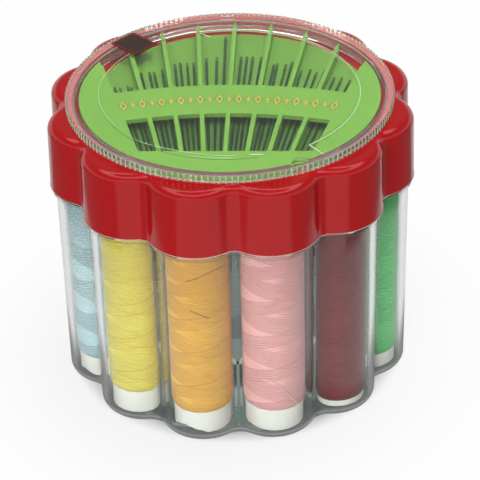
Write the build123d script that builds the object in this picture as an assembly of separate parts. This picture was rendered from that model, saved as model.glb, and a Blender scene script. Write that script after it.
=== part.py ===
from build123d import *
import os
from math import cos, radians, sin, sqrt, tan

# A round sewing box: a clear twelve-lobed jar with a thread spool in each lobe,
# a red lobed lid that lifts off, and a needle case let into the top of the lid.
# The case is a tray with eight fanned channels under a clear dial, which is
# turned until its hole stands over the channel wanted.
# Millimetres, +Z up, origin in the middle of the jar's foot, front towards -Y.

# ---- the lobed outline: lobes between valleys, one valley on the -Y axis ----
LOBES = 12
LOBE_STEP = 360 / LOBES

# ---- lid --------------------------------------------------------------------
LID_EDGE_Z = 46.6
LID_TOP_Z = 61.2
LID_LOBE_RING = 27.86
LID_LOBE_R = 10.4
LID_VALLEY_R = 2.59
LID_DRAFT_DEG = 1.2
LID_WALL = 1.2
LID_TOP_ROUND = 1.8
LID_EDGE_ROUND = 0.3

# the round well in the lid's top, which holds the needle tray
WELL_R = 32.3
WELL_FLOOR_Z = 58.3
WELL_FLOOR_THICK = 1.2
WELL_WALL_R = 34.1
SNAP_GROOVE_R = 32.65
SNAP_Z = 60.1
SNAP_HALF = 0.5

# ---- jar --------------------------------------------------------------------
JAR_LOBE_RING = 27.7
JAR_LOBE_R = 9.47
JAR_VALLEY_R = 3.3
JAR_DRAFT_DEG = 0.34
JAR_WALL = 1.37
JAR_FLOOR = 1.2
JAR_FOOT_ROUND = 2.0
JAR_INSIDE_ROUND = 0.9
COLLAR_THICK = 1.1
COLLAR_INSET = 0.3
LID_SEAT_GAP = 0.05
NECK_TOP_Z = 56.6
NECK_CLEARANCE = 0.2

# the low scalloped wall that keeps the spools upright in their lobes
RETAINER_TOP_Z = 12.6
RETAINER_NOSE_R = 25.5
RETAINER_WALL = 1.1
RETAINER_GAP = 0.5

# ---- spools -----------------------------------------------------------------
SPOOL_RING_R = 29.1
SPOOL_FOOT_Z = JAR_FLOOR + 0.05
CORE_R = 5.75
CORE_BORE_R = 3.5
CORE_LENGTH = 50.6
CORE_EDGE_ROUND = 0.25
THREAD_R = 6.4
THREAD_START = 5.4
FULLER_THREAD_STARTS = {"light_blue": 4.7, "green": 3.5, "dark_red": 1.6}
THREAD_END = 45.2
THREAD_SHOULDER = 1.5
THREAD_SHOULDER_DROP = 0.45
THREAD_ON_CORE_GAP = 0.02

# angle from the front towards +X; the last six stand behind and are guessed
SPOOLS = {
    "light_blue": -75,
    "yellow": -45,
    "orange": -15,
    "pink": 15,
    "dark_red": 45,
    "green": 75,
    "navy": 105,
    "white": 135,
    "brown": 165,
    "black": 195,
    "grey": 225,
    "purple": 255,
}
# the broken lower end of two cores: the turn about the core that its middle
# faces and its size, then its outline across and up, as seen from that side
CHIPPED_CORES = {"orange": (-10.0, 1.0), "light_blue": (30.0, 0.5)}
CHIP_OUTLINE = (
    (-4.4, 0.0),
    (-3.2, 1.0),
    (-1.3, 1.7),
    (0.4, 1.4),
    (1.2, 1.0),
    (2.4, 0.8),
    (3.2, 0.3),
    (4.1, 0.0),
)

# ---- needle tray ------------------------------------------------------------
TRAY_R = 30.8
TRAY_FLOOR_R = 29.2
TRAY_BOTTOM_Z = WELL_FLOOR_Z + 0.05
TRAY_CHANNEL_Z = 59.6
TRAY_TOP_Z = 61.85
TRAY_TURN_DEG = -3.0
CHANNELS = 8
FAN_CENTRE_Y = -84.2
FAN_STEP_DEG = 4.0
DIVIDER_THICK = 0.9
DIVIDER_POINT = 2.6
WINDOW_END_Y = -23.0
BRIDGE_NEAR_R = 75.8
BRIDGE_FAR_R = 87.3
BRIDGE_THICK = 0.9
BEYOND_RIM = 40.0

# ---- needles: one size to a channel, points to the front --------------------
NEEDLE_LENGTHS = (29.0, 35.5, 38.0, 40.0, 41.0, 38.5, 35.5, 32.0)
NEEDLE_RADII = (0.30, 0.34, 0.36, 0.38, 0.38, 0.36, 0.34, 0.32)
NEEDLE_COUNTS = (4, 4, 4, 3, 4, 4, 4, 3)
LONG_NEEDLE_CHANNEL = 3
LONG_NEEDLE_LENGTH = 50.0
NEEDLE_POINT = 6.0
NEEDLE_TIP_R = 0.06
NEEDLE_EYE_TAPER = 0.8
NEEDLE_LIFT = 0.02
NEEDLE_END_Y = WINDOW_END_Y + 0.5

# ---- clear dial -------------------------------------------------------------
DIAL_TOP_Z = 63.0
DIAL_PLATE = 0.8
DIAL_RIM_R = 33.6
DIAL_RIM_INNER_R = 31.9
DIAL_RIM_BOTTOM_Z = 61.4
KNURLS = 180
KNURL_DEPTH = 0.35
SKIRT_INNER_R = 31.3
SKIRT_OUTER_R = 32.1
SKIRT_BOTTOM_Z = 59.5
SNAP_BEAD_R = 32.42
GUIDE_RIB_R = 26.4
GUIDE_RIB_WIDTH = 0.5
GUIDE_RIB_DROP = 0.25
GUIDE_RIB_START = 35.0
GUIDE_RIB_END = 194.0
GUIDE_STEP_DROP = 0.1
GUIDE_STEP_END = 372.0
OUTLET_R = 1.8
OUTLET_RING_R = 32.2
OUTLET_WALL_R = 32.9
OUTLET_ANGLE = 24.0

# ---- seal sticker on the dial ----------------------------------------------
STICKER_RING_R = 28.6
STICKER_ANGLE = 224.0
STICKER_WIDTH = 6.5
STICKER_DEPTH = 7.6
STICKER_THICK = 0.15
STICKER_CORNER_R = 0.4


def around(radius, angle, z=0.0):
    """The point at this radius, its angle counted from the front towards +X."""
    return Vector(radius * sin(radians(angle)), -radius * cos(radians(angle)), z)


def arc(points):
    return ThreePointArc(*points)


def lobed_face(lobe_ring, lobe_r, valley_r, z):
    """A face of round lobes joined by round valleys, each arc tangent to the next."""
    half = radians(LOBE_STEP / 2)
    lobe_x = lobe_ring * sin(half)
    valley_ring = lobe_ring * cos(half) + sqrt((lobe_r + valley_r) ** 2 - lobe_x**2)

    def meet(lobe_angle, valley_angle):
        lobe = around(lobe_ring, lobe_angle, z)
        valley = around(valley_ring, valley_angle, z)
        return lobe + (valley - lobe).normalized() * lobe_r

    edges = []
    for number in range(LOBES):
        valley = number * LOBE_STEP
        lobe = valley + LOBE_STEP / 2
        before = meet(valley - LOBE_STEP / 2, valley)
        after = meet(lobe, valley)
        following = meet(lobe, valley + LOBE_STEP)
        edges.append(arc((before, around(valley_ring - valley_r, valley, z), after)))
        edges.append(arc((after, around(lobe_ring + lobe_r, lobe, z), following)))
    return Face(Wire(edges))


def lid_face(inset, z):
    """The lid's outline at its lower edge, drawn in by an inset."""
    return lobed_face(LID_LOBE_RING, LID_LOBE_R - inset, LID_VALLEY_R + inset, z)


def jar_face(inset, z):
    """The jar's outline under its collar, drawn in by an inset."""
    return lobed_face(JAR_LOBE_RING, JAR_LOBE_R - inset, JAR_VALLEY_R + inset, z)


def disc(radius, low, high):
    return Pos(0, 0, low) * extrude(Circle(radius), high - low)


def ring(outer, inner, low, high):
    return disc(outer, low, high) - disc(inner, low, high)


def edges_at(solid, z):
    return solid.edges().filter_by_position(Axis.Z, z - 0.01, z + 0.01)


def round_profile(points):
    """The solid swept by turning (radius, height) points about the Z axis."""
    profile = Polyline(*[(r, 0, z) for r, z in points], close=True)
    return revolve(Face(Wire(profile.edges())), Axis.Z)


# ---- jar --------------------------------------------------------------------
def jar():
    collar_top = LID_EDGE_Z - LID_SEAT_GAP
    collar_low = collar_top - COLLAR_THICK
    wall = extrude(jar_face(0, collar_low), -collar_low, taper=JAR_DRAFT_DEG)
    wall = fillet(edges_at(wall, 0), JAR_FOOT_ROUND)
    collar = extrude(lid_face(COLLAR_INSET, collar_low), COLLAR_THICK)
    collar = chamfer(collar.edges().filter_by(GeomType.CIRCLE), COLLAR_THICK / 4)
    neck_inset = LID_WALL + NECK_CLEARANCE
    neck = extrude(lid_face(neck_inset, collar_top), NECK_TOP_Z - collar_top)
    hollow = extrude(jar_face(JAR_WALL, JAR_FLOOR), NECK_TOP_Z - JAR_FLOOR)
    hollow = fillet(edges_at(hollow, JAR_FLOOR), JAR_INSIDE_ROUND)
    body = wall + collar + neck - hollow
    return body + retainer()


def retainer():
    """A low wall round the middle, hollowed behind each spool."""

    def scalloped(nose_r, hollow_r):
        face = Circle(nose_r)
        for angle in SPOOLS.values():
            face -= Pos(around(SPOOL_RING_R, angle)) * Circle(hollow_r)
        return face

    hollow_r = THREAD_R + RETAINER_GAP
    inside = scalloped(RETAINER_NOSE_R - RETAINER_WALL, hollow_r + RETAINER_WALL)
    section = scalloped(RETAINER_NOSE_R, hollow_r) - inside
    return Pos(0, 0, JAR_FLOOR) * extrude(section, RETAINER_TOP_Z - JAR_FLOOR)


# ---- spools -----------------------------------------------------------------
def stand(solid, angle):
    """A spool's piece, made about the Z axis, moved to its lobe and turned to it."""
    return Pos(around(SPOOL_RING_R, angle, SPOOL_FOOT_Z)) * Rot(0, 0, angle) * solid


def core():
    tube = ring(CORE_R, CORE_BORE_R, 0, CORE_LENGTH)
    rims = edges_at(tube, 0) + edges_at(tube, CORE_LENGTH)
    return chamfer(rims, CORE_EDGE_ROUND)


def chipped_core(facing, size):
    """A core with a ragged piece broken out of its lower end on one side."""
    outline = [(x * size, 0, z * size) for x, z in CHIP_OUTLINE]
    below = [(outline[-1][0], 0, -1), (outline[0][0], 0, -1)]
    face = Face(Wire(Polyline(*outline, *below, close=True).edges()))
    chip = extrude(face, CORE_R + 1, dir=(0, -1, 0))
    return core() - Rot(0, 0, facing) * chip


def thread(low):
    """The wound package from this height: straight sides, rounded shoulders."""
    mid_r = THREAD_R - THREAD_SHOULDER_DROP / 4
    end_r = THREAD_R - THREAD_SHOULDER_DROP
    inner_r = CORE_R + THREAD_ON_CORE_GAP
    half = [
        (inner_r, low),
        (end_r, low),
        (mid_r, low + THREAD_SHOULDER / 3),
        (THREAD_R, low + THREAD_SHOULDER),
    ]
    other = [(r, low + THREAD_END - z) for r, z in reversed(half)]
    return round_profile(half + other)


# ---- lid --------------------------------------------------------------------
def lid():
    height = LID_TOP_Z - LID_EDGE_Z
    body = extrude(lid_face(0, LID_EDGE_Z), height, taper=LID_DRAFT_DEG)
    body = fillet(edges_at(body, LID_TOP_Z), LID_TOP_ROUND)
    body = fillet(edges_at(body, LID_EDGE_Z), LID_EDGE_ROUND)
    well_under_z = WELL_FLOOR_Z - WELL_FLOOR_THICK
    hollow = extrude(lid_face(LID_WALL, LID_EDGE_Z), well_under_z - LID_EDGE_Z)
    lobes_top_z = LID_TOP_Z - LID_WALL
    lobe_pockets = extrude(
        lid_face(LID_WALL + 0.3, well_under_z), lobes_top_z - well_under_z
    ) - disc(WELL_WALL_R, well_under_z, lobes_top_z)
    well = disc(WELL_R, WELL_FLOOR_Z, LID_TOP_Z)
    groove = round_profile(
        [
            (WELL_R - 1, SNAP_Z + SNAP_HALF),
            (WELL_R, SNAP_Z + SNAP_HALF),
            (SNAP_GROOVE_R, SNAP_Z),
            (WELL_R, SNAP_Z - SNAP_HALF),
            (WELL_R - 1, SNAP_Z - SNAP_HALF),
        ]
    )
    return body - hollow - lobe_pockets - well - groove


# ---- needle tray ------------------------------------------------------------
def fan_x(step, y, side):
    """Where a divider's side crosses this y: step counts dividers from the middle."""
    lean = radians(step * FAN_STEP_DEG)
    return tan(lean) * (y - FAN_CENTRE_Y) + side * DIVIDER_THICK / 2 / cos(lean)


def divider_end_y(step):
    """Where a divider's middle line meets the tray's edge at the back."""
    lean = radians(step * FAN_STEP_DEG)
    to_middle = -FAN_CENTRE_Y
    along = to_middle * cos(lean) + sqrt(TRAY_R**2 - (to_middle * sin(lean)) ** 2)
    return FAN_CENTRE_Y + along * cos(lean)


def channel(number):
    """The wedge between two dividers, open at the back, where both end in points."""
    left = number - CHANNELS / 2
    right = left + 1
    left_end = divider_end_y(left)
    right_end = divider_end_y(right)
    corners = [
        (fan_x(left, WINDOW_END_Y, 1), WINDOW_END_Y),
        (fan_x(right, WINDOW_END_Y, -1), WINDOW_END_Y),
        (fan_x(right, right_end - DIVIDER_POINT, -1), right_end - DIVIDER_POINT),
        (fan_x(right, right_end, 0), right_end),
        (fan_x(right, right_end, 0), BEYOND_RIM),
        (fan_x(left, left_end, 0), BEYOND_RIM),
        (fan_x(left, left_end, 0), left_end),
        (fan_x(left, left_end - DIVIDER_POINT, 1), left_end - DIVIDER_POINT),
    ]
    wedge = Face(Wire(Polyline(*corners, close=True).edges()))
    return Pos(0, 0, TRAY_CHANNEL_Z) * extrude(wedge, TRAY_TOP_Z - TRAY_CHANNEL_Z)


def bridge():
    """The arched band that holds the needles down, about the fan's own centre."""
    low = TRAY_TOP_Z - BRIDGE_THICK
    band = ring(BRIDGE_FAR_R, BRIDGE_NEAR_R, low, TRAY_TOP_Z)
    return Pos(0, FAN_CENTRE_Y, 0) * band & disc(TRAY_R, low, TRAY_TOP_Z)


def needle_tray():
    floor = disc(TRAY_FLOOR_R, TRAY_BOTTOM_Z, TRAY_CHANNEL_Z)
    body = disc(TRAY_R, TRAY_CHANNEL_Z, TRAY_TOP_Z)
    for number in range(CHANNELS):
        body -= channel(number)
    return Rot(0, 0, TRAY_TURN_DEG) * (floor + body + bridge())


# ---- needles ----------------------------------------------------------------
def needle(length, radius):
    """A needle along +Z, its point at the origin and a blunt eye end."""
    return round_profile(
        [
            (0, 0),
            (NEEDLE_TIP_R, 0),
            (radius, NEEDLE_POINT),
            (radius, length - NEEDLE_EYE_TAPER),
            (radius / 2, length),
            (0, length),
        ]
    )


def channel_needles(number):
    """The needles of one channel, spread evenly between its two dividers."""
    radius = NEEDLE_RADII[number]
    count = NEEDLE_COUNTS[number]
    height = TRAY_CHANNEL_Z + radius + NEEDLE_LIFT
    placed = []
    for place in range(count):
        step = number - CHANNELS / 2 + (place + 1) / (count + 1)
        lean = radians(step * FAN_STEP_DEG)
        is_long = number == LONG_NEEDLE_CHANNEL and place == count - 1
        length = LONG_NEEDLE_LENGTH if is_long else NEEDLE_LENGTHS[number]
        foot = (fan_x(step, NEEDLE_END_Y, 0), NEEDLE_END_Y, height)
        lie = Plane(origin=foot, z_dir=(sin(lean), cos(lean), 0))
        placed.append(lie * needle(length, radius))
    return Rot(0, 0, TRAY_TURN_DEG) * Compound(placed)


# ---- dial -------------------------------------------------------------------
def knurled_rim():
    """A ring with a fine tooth every two degrees round its outside."""
    outline = []
    for tooth in range(KNURLS):
        angle = tooth * 360 / KNURLS
        outline.append(around(DIAL_RIM_R, angle))
        outline.append(around(DIAL_RIM_R - KNURL_DEPTH, angle + 180 / KNURLS))
    face = Face(Wire(Polyline(*outline, close=True).edges()))
    height = DIAL_TOP_Z - DIAL_RIM_BOTTOM_Z
    rim = Pos(0, 0, DIAL_RIM_BOTTOM_Z) * extrude(face, height)
    return rim - disc(DIAL_RIM_INNER_R, DIAL_RIM_BOTTOM_Z, DIAL_TOP_Z)


def dial():
    under_z = DIAL_TOP_Z - DIAL_PLATE
    plate = disc(DIAL_RIM_INNER_R + 0.1, under_z, DIAL_TOP_Z)
    skirt = round_profile(
        [
            (SKIRT_INNER_R, under_z + 0.1),
            (SKIRT_INNER_R, SKIRT_BOTTOM_Z),
            (SKIRT_OUTER_R, SKIRT_BOTTOM_Z),
            (SNAP_BEAD_R, SNAP_Z),
            (SKIRT_OUTER_R, SNAP_Z + SNAP_HALF),
            (SKIRT_OUTER_R, under_z + 0.1),
        ]
    )
    return plate + skirt + knurled_rim() + guide_rib() - outlet()


def outlet():
    """The arched hole that a needle leaves by, closed outside by the rim's wall."""
    outlet_at = around(OUTLET_RING_R, OUTLET_ANGLE)
    arch = Pos(outlet_at) * disc(OUTLET_R, SKIRT_BOTTOM_Z, DIAL_TOP_Z)
    return arch & disc(OUTLET_WALL_R, SKIRT_BOTTOM_Z, DIAL_TOP_Z)


def under_plate_band(start, end, drop):
    """A band round part of the plate's underside, standing down by a drop."""
    outer_r = GUIDE_RIB_R + GUIDE_RIB_WIDTH / 2
    inner_r = GUIDE_RIB_R - GUIDE_RIB_WIDTH / 2
    middle = (start + end) / 2
    edge = [
        arc((around(outer_r, start), around(outer_r, middle), around(outer_r, end))),
        Line(around(outer_r, end), around(inner_r, end)),
        arc((around(inner_r, end), around(inner_r, middle), around(inner_r, start))),
        Line(around(inner_r, start), around(outer_r, start)),
    ]
    return Pos(0, 0, DIAL_TOP_Z - DIAL_PLATE - drop) * extrude(Face(Wire(edge)), drop)


def guide_rib():
    """A low rib round nearly half the plate, its ends turned outwards, and a
    still lower step that goes on round the rest."""
    low = DIAL_TOP_Z - DIAL_PLATE - GUIDE_RIB_DROP
    rib = under_plate_band(GUIDE_RIB_START, GUIDE_RIB_END, GUIDE_RIB_DROP)
    rib += under_plate_band(GUIDE_RIB_END - 1, GUIDE_STEP_END, GUIDE_STEP_DROP)
    reach = SKIRT_INNER_R + 0.1 - GUIDE_RIB_R
    for angle in (GUIDE_RIB_START, GUIDE_RIB_END):
        at = around(GUIDE_RIB_R + reach / 2, angle, low + GUIDE_RIB_DROP / 2)
        rib += Pos(at) * Rot(0, 0, angle) * Box(GUIDE_RIB_WIDTH, reach, GUIDE_RIB_DROP)
    return rib


def seal_sticker():
    sticker = extrude(
        RectangleRounded(STICKER_WIDTH, STICKER_DEPTH, STICKER_CORNER_R), STICKER_THICK
    )
    at = around(STICKER_RING_R, STICKER_ANGLE, DIAL_TOP_Z)
    return Pos(at) * Rot(0, 0, STICKER_ANGLE) * sticker


# ---- the whole box ----------------------------------------------------------
def pieces():
    made = {
        "jar": jar(),
        "lid": lid(),
        "needle_tray": needle_tray(),
        "dial_cover": dial(),
        "seal_sticker": seal_sticker(),
    }
    for number in range(CHANNELS):
        made[f"needles_channel_{number + 1}"] = channel_needles(number)
    plain_core = core()
    for colour, angle in SPOOLS.items():
        own_core = plain_core
        if colour in CHIPPED_CORES:
            own_core = chipped_core(*CHIPPED_CORES[colour])
        made[f"core_{colour}"] = stand(own_core, angle)
        start = FULLER_THREAD_STARTS.get(colour, THREAD_START)
        made[f"thread_{colour}"] = stand(thread(start), angle)
    return made


os.makedirs("parts", exist_ok=True)
for name, piece in pieces().items():
    export_step(piece, f"parts/{name}.step")
    print(name, "solids", len(piece.solids()), "volume", round(piece.volume, 1))
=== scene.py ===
import bmesh
import bpy
from math import atan2, cos, floor, pi, radians, sin
from mathutils import Matrix, Vector, noise


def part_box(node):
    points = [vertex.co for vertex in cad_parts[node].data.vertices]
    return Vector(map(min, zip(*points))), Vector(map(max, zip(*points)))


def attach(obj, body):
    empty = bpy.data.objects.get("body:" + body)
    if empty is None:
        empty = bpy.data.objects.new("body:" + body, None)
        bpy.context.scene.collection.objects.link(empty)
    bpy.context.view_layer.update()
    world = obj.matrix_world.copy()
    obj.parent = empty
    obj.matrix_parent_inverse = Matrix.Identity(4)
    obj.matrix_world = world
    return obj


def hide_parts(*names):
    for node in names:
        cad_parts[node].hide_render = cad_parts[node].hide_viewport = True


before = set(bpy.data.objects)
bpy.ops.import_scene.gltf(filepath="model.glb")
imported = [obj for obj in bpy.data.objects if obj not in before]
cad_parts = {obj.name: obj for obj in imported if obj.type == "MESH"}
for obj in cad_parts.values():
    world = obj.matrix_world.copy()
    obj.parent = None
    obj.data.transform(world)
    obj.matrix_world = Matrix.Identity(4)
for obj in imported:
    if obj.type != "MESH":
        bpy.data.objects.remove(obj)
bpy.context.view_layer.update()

# A clear lobed sewing box with thread spools, a red lid and a needle case on
# top. Blender works in metres, so small sizes are given in MM. Bearings round the
# box count from its front towards +X. The sections of values come first, then
# the helpers for materials and pieces, then each group of pieces and the stage.
MM = 0.001

# ---- the tray's fan of channels, as in the solids --------------------------------------
FAN_CENTRE_Y = -84.2 * MM
TRAY_TURN = radians(-3.0)
BRIDGE_MIDDLE_R = 81.5 * MM

# ---- the tray's painted shade: darker below its top, and more so in front of the bridge
SHADE_FROM = 1.2 * MM
SHADE_TO = 2.4 * MM
WINDOW_SHADE_FROM_Y = -4.0 * MM
WINDOW_SHADE_TO_Y = -8.0 * MM
CHANNEL_SHADE_SHARE = 0.85
WINDOW_SHADE_SHARE = 0.42

# ---- stamped ornament on the bridge ----------------------------------------------------
MOTIFS = 23
MOTIF_STEP = radians(1.38)
MOTIF_HEIGHT = 3.9 * MM
MOTIF_WIDTH = 1.6 * MM
MOTIF_STROKE = 0.42 * MM
FOIL_THICK = 0.04 * MM
# the darker outline round each motif is painted shade
STAMP_SHADE_THICK = 0.02 * MM
STAMP_SHADE_MARGIN = 0.2 * MM

# how much wider a diamond's slanted stroke cuts, and a star's waist and reach
DIAMOND_SLANT = 2.2
STAR_WAIST = 0.7
STAR_WAIST_MARGIN = 0.5
STAR_HEIGHT = 0.9
STAR_WIDTH = 0.95

# ---- the seal sticker's print ----------------------------------------------------------
SEAL_HALF_WIDTH = 3.25 * MM
SEAL_HALF_DEPTH = 3.8 * MM
SEAL_BORDER = 0.55 * MM
LATTICE_PITCH = 1.5 * MM
LATTICE_CUT = 0.35
LATTICE_SHARE = 0.7
SEAL_BORDER_SHADE = (112, 10, 16)
SEAL_LATTICE_SHADE = (104, 16, 22)
SEAL_GROUND_SHADES = ((10, 18, 10), (34, 44, 24))
SEAL_SCALE = 900.0
SEAL_ROUGH = (0.2, 0.4)
SEAL_SHINE = 0.3

# ---- the clear dial's milky rim and painted highlights on its edges, as in the solids ---
DIAL_WORN_R = 31.7 * MM
KNURLS = 180
CREST_LOW = 1.5 * MM
CREST_HIGH = 0.08 * MM
CREST_HALF = 0.15 * MM
CREST_PROUD = 0.01 * MM
CREST_SLOPE = 0.1 * MM
CREST_SINK = 0.05 * MM
SKIRT_R = 31.2 * MM
RIB_R = 26.65 * MM
RIB_START_R = 27.05 * MM
RIB_START = radians(35.0)
RIB_END = radians(194.0)
RIB_EDGE_DROP = 0.98 * MM
RIB_LINE_R = 0.1 * MM
STEP_LINE_R = 0.06 * MM
SMUDGE_LINE_R = 0.16 * MM
LINE_SIDES = 6
STEP_LINE_SIDES = 5
RIB_POINTS = 80
STEP_POINTS = 16
HOOK_R = 24.0 * MM
HOOK_TURN = radians(5.0)

# the two ends of the scuff, as radius and bearing
SMUDGE_ENDS = ((25.1 * MM, radians(7.9)), (25.8 * MM, radians(14.0)))

# radius and bearing of the step's edge, which isn't quite round
STEP_EDGE = (
    (27.4 * MM, radians(194.0)),
    (27.1 * MM, radians(251.0)),
    (26.0 * MM, radians(311.0)),
    (24.9 * MM, radians(336.0)),
    (25.1 * MM, radians(364.0)),
)

# ---- the dial's outlet hole, as in the solids, and the pale paint on its rim and wall ---
OUTLET_R = 1.8 * MM
OUTLET_RING_R = 32.2 * MM
OUTLET_ANGLE = radians(24.0)
OUTLET_SWEEP = radians(190.0)
OUTLET_LINE_R = 0.08 * MM
OUTLET_POINTS = 24
OUTLET_WALL_DROP = 0.7 * MM
OUTLET_SKIN_INSETS = (0.01 * MM, 0.06 * MM)

# ---- lit lower edge of the lid: its line, and which faces are the outer wall -----------
LIT_REACH = 0.7 * MM
LIT_LINE_R = 0.1 * MM
WALL_FACING = 0.2

# ---- grain of the finishes, in features to a metre, and depth of their ripple ----------
DRIFT_SCALE = 60.0
FINE_SCALE = 1800.0
WAVE_SCALE = 260.0
RIPPLE = 0.006 * MM
CORE_RIPPLE = 0.02 * MM
FINE_RELIEF = 0.01 * MM

# how far roughness goes below and above its middle: on moulded plastic by an
# amount, on clear plastic and metal by a share
ROUGH_BELOW = 0.05
ROUGH_ABOVE = 0.07
UNEVEN_LOW = 0.6
UNEVEN_HIGH = 1.4

# ---- plain plastics: two shades, roughness, shine and ripple ---------------------------
PLASTICS = {
    "red_plastic": ((183, 13, 19), (175, 11, 16), 0.12, 0.4, RIPPLE),
    "green_plastic": ((116, 164, 64), (108, 156, 58), 0.35, 0.3, RIPPLE),
    "white_core": ((240, 238, 232), (230, 228, 222), 0.42, 0.4, CORE_RIPPLE),
    # the next rows are painted: shade round the stamped motifs, highlights on the knurl crests,
    # rib and lid edge, and pale paint in the outlet
    "stamp_shade": ((72, 112, 40), (92, 130, 50), 0.5, 0.2, RIPPLE),
    "knurl_crest_highlight": ((178, 200, 150), (196, 212, 178), 0.4, 0.4, RIPPLE),
    "rib_highlight_and_scuff": ((206, 228, 190), (190, 216, 170), 0.4, 0.4, RIPPLE),
    "pale_hole_paint": ((168, 212, 130), (150, 196, 110), 0.4, 0.3, RIPPLE),
    "lit_edge": ((222, 198, 192), (206, 176, 170), 0.35, 0.4, RIPPLE),
}

# ---- metals: two shades, roughness, patches to a metre and share of metal --------------
METALS = {
    # the needles' green is a painted reflection of the green tray in the steel
    "needle_steel": ((56, 122, 82), (20, 56, 34), 0.2, 900.0, 0.8),
    "gold_foil": ((226, 202, 88), (150, 138, 44), 0.45, 2200.0, 0.3),
}

# ---- clear plastic: its shade seen straight through and seen on edge -------------------
JAR_SHADES = ((248, 251, 249), (84, 104, 96))
DIAL_SHADES = ((248, 251, 248), (150, 168, 152))
CLEAR_IOR = 1.5
CLEAR_ROUGH = 0.03
CLEAR_RIPPLE = 0.02 * MM
CLEAR_WAVE_SCALE = 120.0
SMEAR_SCALE = 300.0
EDGE_BLEND = 0.35
EDGE_POWER = 4.0
WORN_CLEAR = 0.9
LAMPS_THROUGH = (0.95, 0.96, 0.955, 1.0)

# tint of the jar's thick foot: how high it goes, on its floor and at its rim
FOOT_TOP = 1.4 * MM
FOOT_FADE = 0.4 * MM
FOOT_FLOOR_R = 31.0 * MM
FOOT_RIM_R = 34.0 * MM
FOOT_FLOOR_TINT = 0.92
FOOT_RIM_TINT = 0.6

# ---- thread packages: mesh -------------------------------------------------------------
THREAD_COLUMNS = 132
THREAD_ROWS = 116
SHOULDER = 1.5 * MM
SHOULDER_DROP = 0.45 * MM
THREAD_SINK = 0.24 * MM
CORE_CLEAR = 0.02 * MM
SWELL = 0.05 * MM
SWELL_GRAIN = 1.3
SWELL_UP = 90.0
SEED_STEP = 7.3
BORE_BAND = 0.5

# Two sets of bands cross: one falls and the other rises round the package. Each
# band's two edges are a share of the lead and the width that it softens over.
BAND_LEAD = 8.4 * MM
BAND_LIFT = 0.03 * MM
FALLING_LIFT = 0.6
RISING_OFFSET = 3
FALLING_START = (0.08, 0.06)
FALLING_END = (0.60, 0.04)
RISING_START = (0.10, 0.04)
RISING_END = (0.44, 0.03)

# the wedge of painted sheen beside a crossing, in shares of a turn, and the band's share
# elsewhere
SHEEN_WEDGE_START = (0.42, 0.10)
SHEEN_WEDGE_END = (0.01, 0.08)
SHEEN_WEDGE_FRONT = 0.02
OFF_WEDGE_SHARE = 0.15

# ---- thread packages: yarn -------------------------------------------------------------
YARN_PITCH = 0.56 * MM
STREAKS_ROUND = 9.0
STREAKS_UP = 2400.0
YARN_ROUGH = 0.62
YARN_SHINE = 0.3
YARN_SHEEN = 0.12
YARN_SHEEN_ROUGH = 0.5
YARN_RELIEF = 0.02 * MM
YARN_PALE_RELIEF = 0.03 * MM
YARN_BUMP = 0.9
PALE_GAIN = 1.15
PALE_LIFT = 0.03
DEEP_SHARE = 0.62
TOP_SHADE_REACH = 20.0 * MM

# how far streaks, turns, bands and patches move the tone from deep to pale
STREAK_TONE = (0.1, 0.8)
TURN_TONE = (-0.2, 0.1)
# the bands' paler tone is painted sheen
BAND_SHEEN_TONE = (-0.08, 0.4)
PATCH_TONE = (-0.1, 0.1)

# the painted shade along a band's edge, where the step between sets is shaded: its half width
# and fade, in shares of the lead, and its depth at the rising set's end and start and the
# falling set's end
EDGE_SHADE_SHARE = 0.007
EDGE_SHADE_END_SHARE = 0.022
RISING_END_SHADE = -0.5
RISING_START_SHADE = -0.26
FALLING_END_SHADE = -0.36

# each colour, its shade, where its bands start and how much painted shade darkens its top
THREADS = {
    "light_blue": ((184, 212, 220), 0.10, -1.2),
    "yellow": ((252, 228, 90), 0.55, -0.5),
    "orange": ((255, 184, 58), 0.30, -0.5),
    "pink": ((255, 178, 176), 0.80, -0.4),
    "dark_red": ((118, 4, 10), 0.45, -0.5),
    "green": ((82, 216, 112), 0.20, -0.5),
    "navy": ((34, 44, 84), 0.65, -0.5),
    "white": ((232, 232, 226), 0.90, -0.5),
    "brown": ((96, 62, 40), 0.05, -0.5),
    "black": ((52, 56, 56), 0.35, -0.5),
    "grey": ((132, 136, 140), 0.70, -0.5),
    "purple": ((110, 66, 128), 0.25, -0.5),
}

# loose strands that lie on a package: spool, shade, radius and points, each a
# bearing from the spool's own front in degrees and a height in millimetres
STRANDS = {
    "loose_end_pink": ("pink", (255, 214, 212), 0.14, (
        (-24.7, 14.84), (-9.6, 14.90), (1.6, 14.28), (8.4, 13.06), (17.6, 11.56),
        (27.5, 9.90), (37.8, 8.35), (43.5, 7.49), (52.1, 7.43), (59.0, 7.44),
    )),
    "dark_fibre_upper": ("orange", (96, 92, 48), 0.06, (
        (-18.5, 39.7), (1.9, 40.7), (20.8, 41.6), (38.5, 41.9), (53.9, 41.6),
    )),
    "dark_fibre_lower": ("orange", (96, 92, 48), 0.06, (
        (-12.9, 32.8), (-0.8, 32.0), (18.2, 30.7),
    )),
}

STRAND_PROUD = 0.02 * MM
STRAND_SIDES = 8
STRAND_DARKER = 0.8
STRAND_FINISH = (0.6, 0.2, 0.02 * MM)

# ---- needles: how wide the shaft is, as a share, how far on from its point -------------
CHANNELS = 8
NEEDLE_SIDES = 10
NEEDLE_TAPER = (
    (0.0, 0.08),
    (1.5 * MM, 0.38),
    (3.5 * MM, 0.68),
    (6.0 * MM, 0.88),
    (9.0 * MM, 1.0),
)
NEEDLE_SLIM = 0.74
NEEDLE_SLIP = 1.6 * MM
NEEDLE_DRIFT = 0.7 * MM
POINT_SLIP_SHARE = 0.3
SAME_POINT = 0.0005 * MM

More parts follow.
